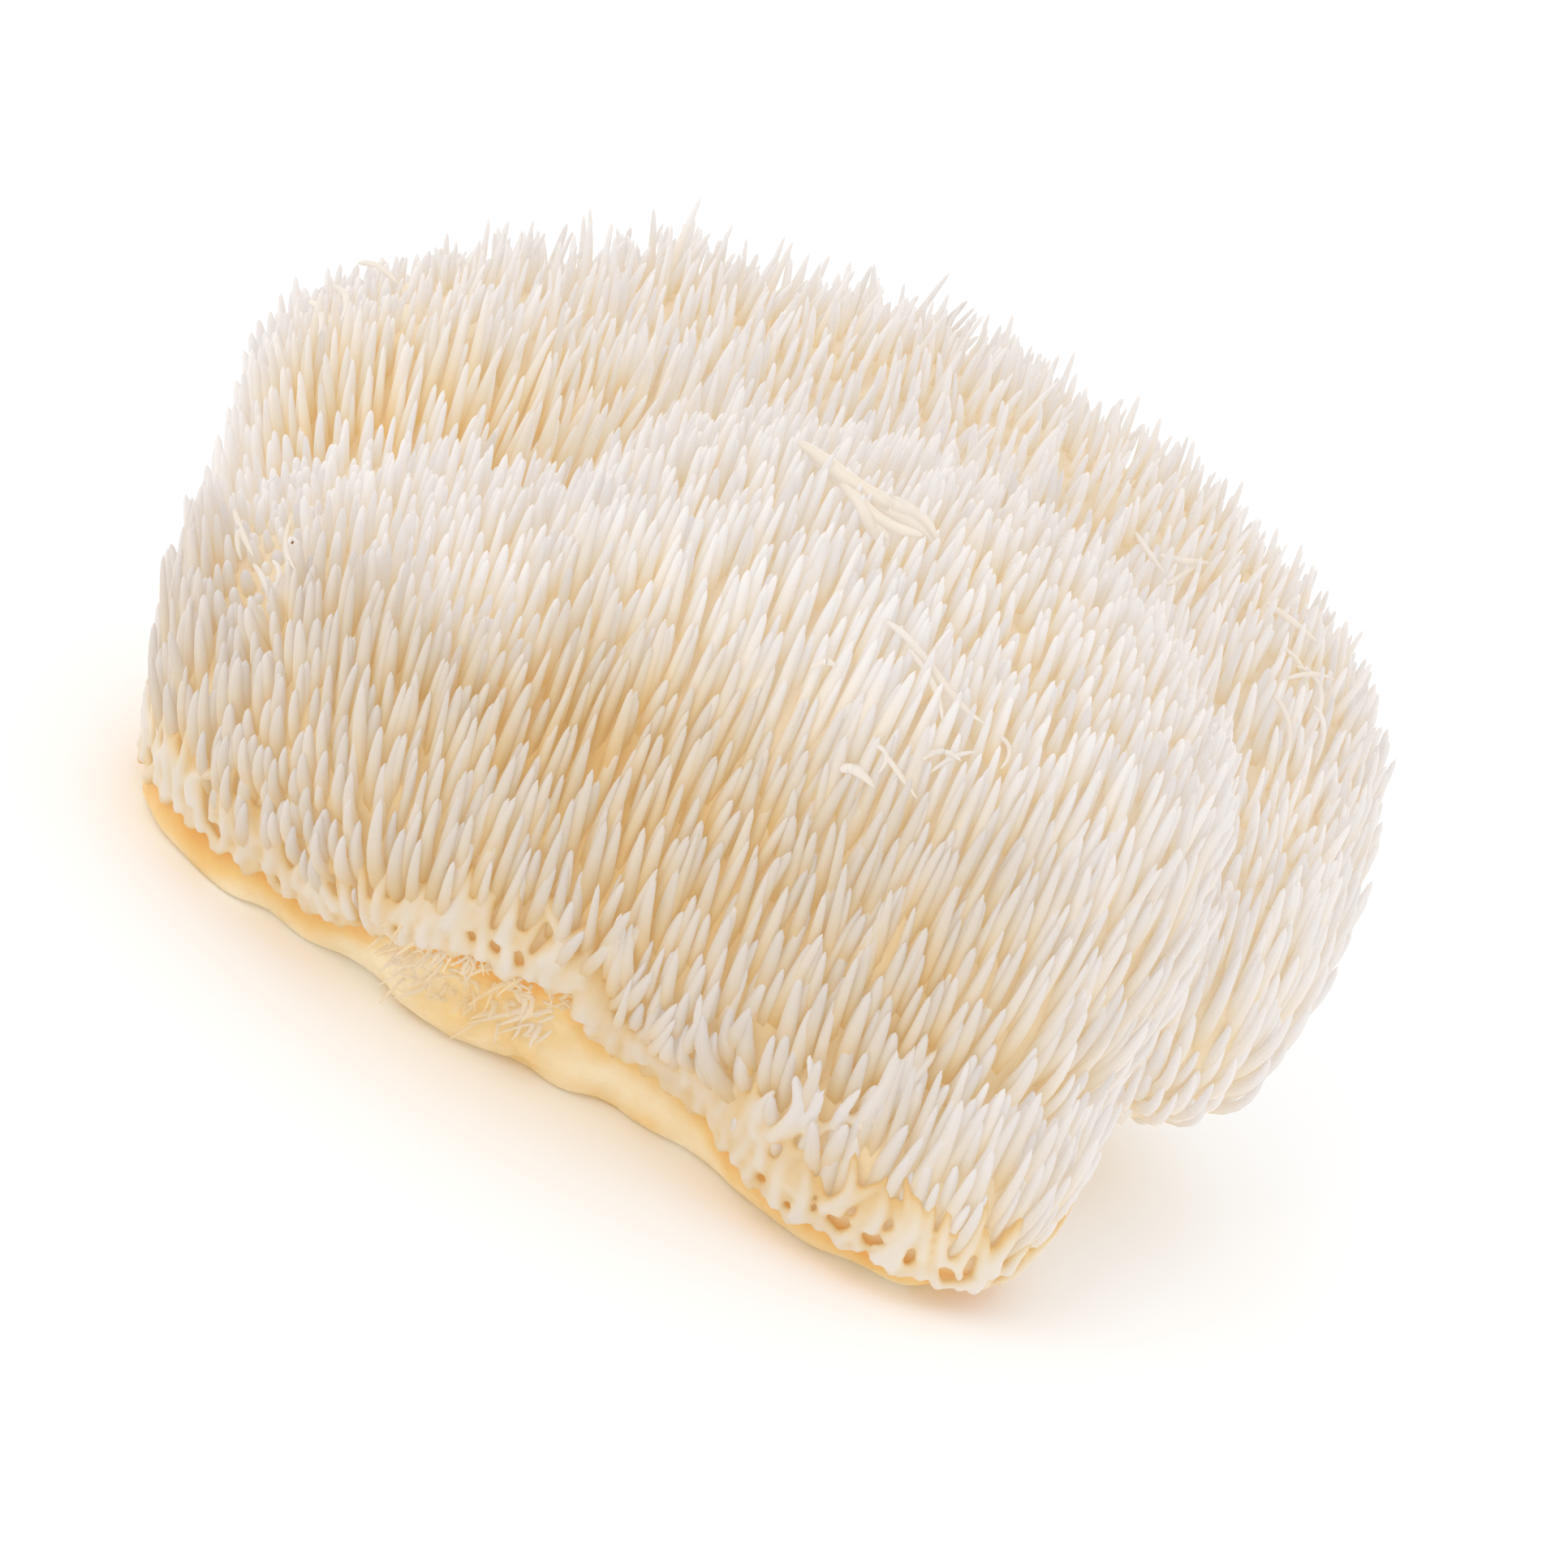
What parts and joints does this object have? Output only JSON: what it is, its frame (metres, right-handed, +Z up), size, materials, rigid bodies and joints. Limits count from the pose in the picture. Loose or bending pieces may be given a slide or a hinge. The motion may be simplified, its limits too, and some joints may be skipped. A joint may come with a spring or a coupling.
{
  "type": "lion's mane mushroom",
  "caption": "Lobed, cushion-shaped fruit body of a lion's mane mushroom, cut flat at the foot, with spines all over that point upward.",
  "frame": {"origin": "in the middle of the fruit body's box, on the flat cut that it rests on", "axes": "+Z up, away from the cut and along the spines; -Y toward the broad front side; +X to the right along the longest side"},
  "size_m": [0.155, 0.105, 0.093],
  "materials": {
    "flesh": null
  },
  "bodies": {
    "root": {"fruit_body": "flesh"}
  },
  "joints": []
}
